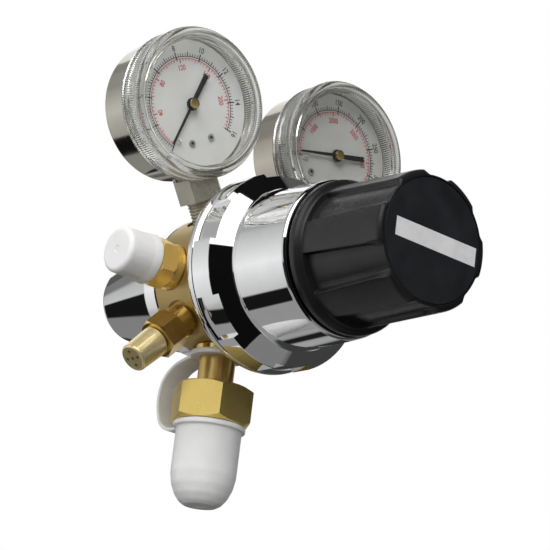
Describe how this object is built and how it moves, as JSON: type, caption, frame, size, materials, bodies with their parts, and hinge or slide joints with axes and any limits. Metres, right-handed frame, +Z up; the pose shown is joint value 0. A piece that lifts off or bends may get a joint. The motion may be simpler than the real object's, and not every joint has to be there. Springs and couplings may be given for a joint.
{
  "type": "gas regulator",
  "caption": "Two-stage compressed gas regulator with chromed bonnet, black fluted adjusting knob, dial gauges, relief valve, capped bottle inlet nut and capped hose outlet.",
  "frame": {"origin": "middle of the inlet nut's outside thread, on its axis", "axes": "+Z up along the inlet stem, -Y forward along the main axis towards the hand knob, +X right seen from the knob side; the hose outlet points to -X"},
  "size_m": [0.1426, 0.1926, 0.1923],
  "materials": {
    "body_brass": "satin, bead-blasted and lacquered",
    "fitting_brass": "turned, satin",
    "chrome": "polished mirror",
    "knob_black": "fine semi-matte moulding grain",
    "label_print": "printed, plain pale stripe",
    "steel": "zinc plated",
    "spring_steel": "drawn wire",
    "rubber": "smooth",
    "sintered_bronze": "sintered, porous",
    "cap_white": "translucent white polyethylene",
    "gauge_steel": "bright nickel plate",
    "clear_window": "clear ribbed plastic",
    "dial_white": "matt white with print",
    "pointer_black": "satin black",
    "stem_nickel": "nickel plated over brass",
    "movement_brass": "stamped, bright",
    "tube_bronze": "drawn"
  },
  "bodies": {
    "housing": {"body": "body_brass", "bonnet": "chrome", "cap_tether": "cap_white", "contents_gauge_bourdon_tube": "tube_bronze", "contents_gauge_case": "gauge_steel", "contents_gauge_case_screws": "steel", "contents_gauge_dial": "dial_white", "contents_gauge_dial_screws": "steel", "contents_gauge_movement_frame": "movement_brass", "contents_gauge_socket": "stem_nickel", "contents_gauge_window": "clear_window", "delivery_gauge_bourdon_tube": "tube_bronze", "delivery_gauge_case": "gauge_steel", "delivery_gauge_case_screws": "steel", "delivery_gauge_dial": "dial_white", "delivery_gauge_dial_screws": "steel", "delivery_gauge_movement_frame": "movement_brass", "delivery_gauge_socket": "stem_nickel", "delivery_gauge_window": "clear_window", "diaphragm": "rubber", "first_stage_diaphragm": "rubber", "first_stage_nozzle": "fitting_brass", "first_stage_spring": "spring_steel", "first_stage_valve_spring": "spring_steel", "inlet_filter": "sintered_bronze", "inlet_seal": "rubber", "inlet_stem": "fitting_brass", "main_spring": "spring_steel", "outlet_adapter": "fitting_brass", "outlet_washer": "fitting_brass", "preset_screw": "steel", "rear_cover": "chrome", "relief_base": "fitting_brass", "relief_cap": "fitting_brass", "relief_spring": "spring_steel", "second_stage_nozzle": "fitting_brass", "second_stage_valve_spring": "spring_steel", "slip_ring": "steel", "stem_washer": "fitting_brass"},
    "hand_knob": {"adjusting_knob": "knob_black", "knob_label": "label_print", "adjusting_screw": "steel", "knob_screw": "steel"},
    "button": {"spring_button": "steel"},
    "diaphragm_set": {"spring_plate": "steel", "diaphragm_plate": "steel"},
    "second_poppet": {"second_stage_poppet": "steel"},
    "first_seat": {"first_stage_spring_seat": "steel"},
    "first_poppet": {"first_stage_poppet": "steel"},
    "relief_valve": {"relief_poppet": "rubber"},
    "nut": {"inlet_nut": "fitting_brass"},
    "inlet_cap": {"inlet_cap": "cap_white"},
    "outlet_cap": {"outlet_cap": "cap_white"},
    "delivery_pointer": {"delivery_gauge_pointer": "pointer_black", "delivery_gauge_arbor": "steel"},
    "delivery_sector": {"delivery_gauge_sector": "movement_brass"},
    "contents_pointer": {"contents_gauge_pointer": "pointer_black", "contents_gauge_arbor": "steel"},
    "contents_sector": {"contents_gauge_sector": "movement_brass"}
  },
  "joints": [
    {"name": "knob_turn", "type": "hinge", "parent": "housing", "child": "hand_knob", "pos_m": [0, 0, 0.0677], "axis": [0, 1, 0], "range_deg": [0, 2160]},
    {"name": "button_slide", "type": "slide", "parent": "housing", "child": "button", "axis": [0, 1, 0], "range_m": [0, 0.0105], "deforming": ["main_spring"]},
    {"name": "diaphragm_slide", "type": "slide", "parent": "housing", "child": "diaphragm_set", "axis": [0, 1, 0], "range_m": [0, 0.0008], "stiffness_N_per_m": 4000, "deforming": ["diaphragm", "main_spring"]},
    {"name": "second_poppet_slide", "type": "slide", "parent": "housing", "child": "second_poppet", "axis": [0, 1, 0], "range_m": [0, 0.0008], "deforming": ["second_stage_valve_spring"]},
    {"name": "first_seat_slide", "type": "slide", "parent": "housing", "child": "first_seat", "axis": [0, -1, 0], "range_m": [0, 0.0005], "stiffness_N_per_m": 6000, "deforming": ["first_stage_diaphragm", "first_stage_spring"]},
    {"name": "first_poppet_slide", "type": "slide", "parent": "housing", "child": "first_poppet", "axis": [0, -1, 0], "range_m": [0, 0.0005], "deforming": ["first_stage_valve_spring"]},
    {"name": "relief_lift", "type": "slide", "parent": "housing", "child": "relief_valve", "axis": [-0.7071, 0, -0.7071], "range_m": [0, 0.0015], "stiffness_N_per_m": 800, "deforming": ["relief_spring"]},
    {"name": "nut_spin", "type": "hinge", "parent": "housing", "child": "nut", "pos_m": [0, 0, 0], "axis": [0, 0, 1], "continuous": true},
    {"name": "inlet_cap_pull", "type": "slide", "parent": "housing", "child": "inlet_cap", "axis": [0, 0, -1], "range_m": [0, 0.032], "deforming": ["cap_tether"]},
    {"name": "outlet_cap_pull", "type": "slide", "parent": "housing", "child": "outlet_cap", "axis": [-1, 0, 0], "range_m": [0, 0.04]},
    {"name": "delivery_pointer_turn", "type": "hinge", "parent": "housing", "child": "delivery_pointer", "pos_m": [-0.03904, 0, 0.13267], "axis": [0.0628, 0.9973, 0.0377], "range_deg": [0, 270], "stiffness_Nm_per_rad": 0.0008},
    {"name": "delivery_sector_turn", "type": "hinge", "parent": "housing", "child": "delivery_sector", "pos_m": [-0.02915, 0, 0.11622], "axis": [0.0628, 0.9973, 0.0377], "range_deg": [-38.6, 0]},
    {"name": "contents_pointer_turn", "type": "hinge", "parent": "housing", "child": "contents_pointer", "pos_m": [0.03981, 0, 0.13396], "axis": [0.0165, 0.9998, -0.0099], "range_deg": [0, 270], "stiffness_Nm_per_rad": 0.0008},
    {"name": "contents_sector_turn", "type": "hinge", "parent": "housing", "child": "contents_sector", "pos_m": [0.02992, 0, 0.1175], "axis": [0.0165, 0.9998, -0.0099], "range_deg": [-38.6, 0]}
  ],
  "couplings": [
    {"joint": "button_slide", "follows": "knob_turn", "m_per_rad": 0.00027852},
    {"joint": "second_poppet_slide", "follows": "diaphragm_slide", "ratio": 1},
    {"joint": "first_poppet_slide", "follows": "first_seat_slide", "ratio": 1},
    {"joint": "delivery_sector_turn", "follows": "delivery_pointer_turn", "ratio": -0.14286},
    {"joint": "contents_sector_turn", "follows": "contents_pointer_turn", "ratio": -0.14286}
  ]
}
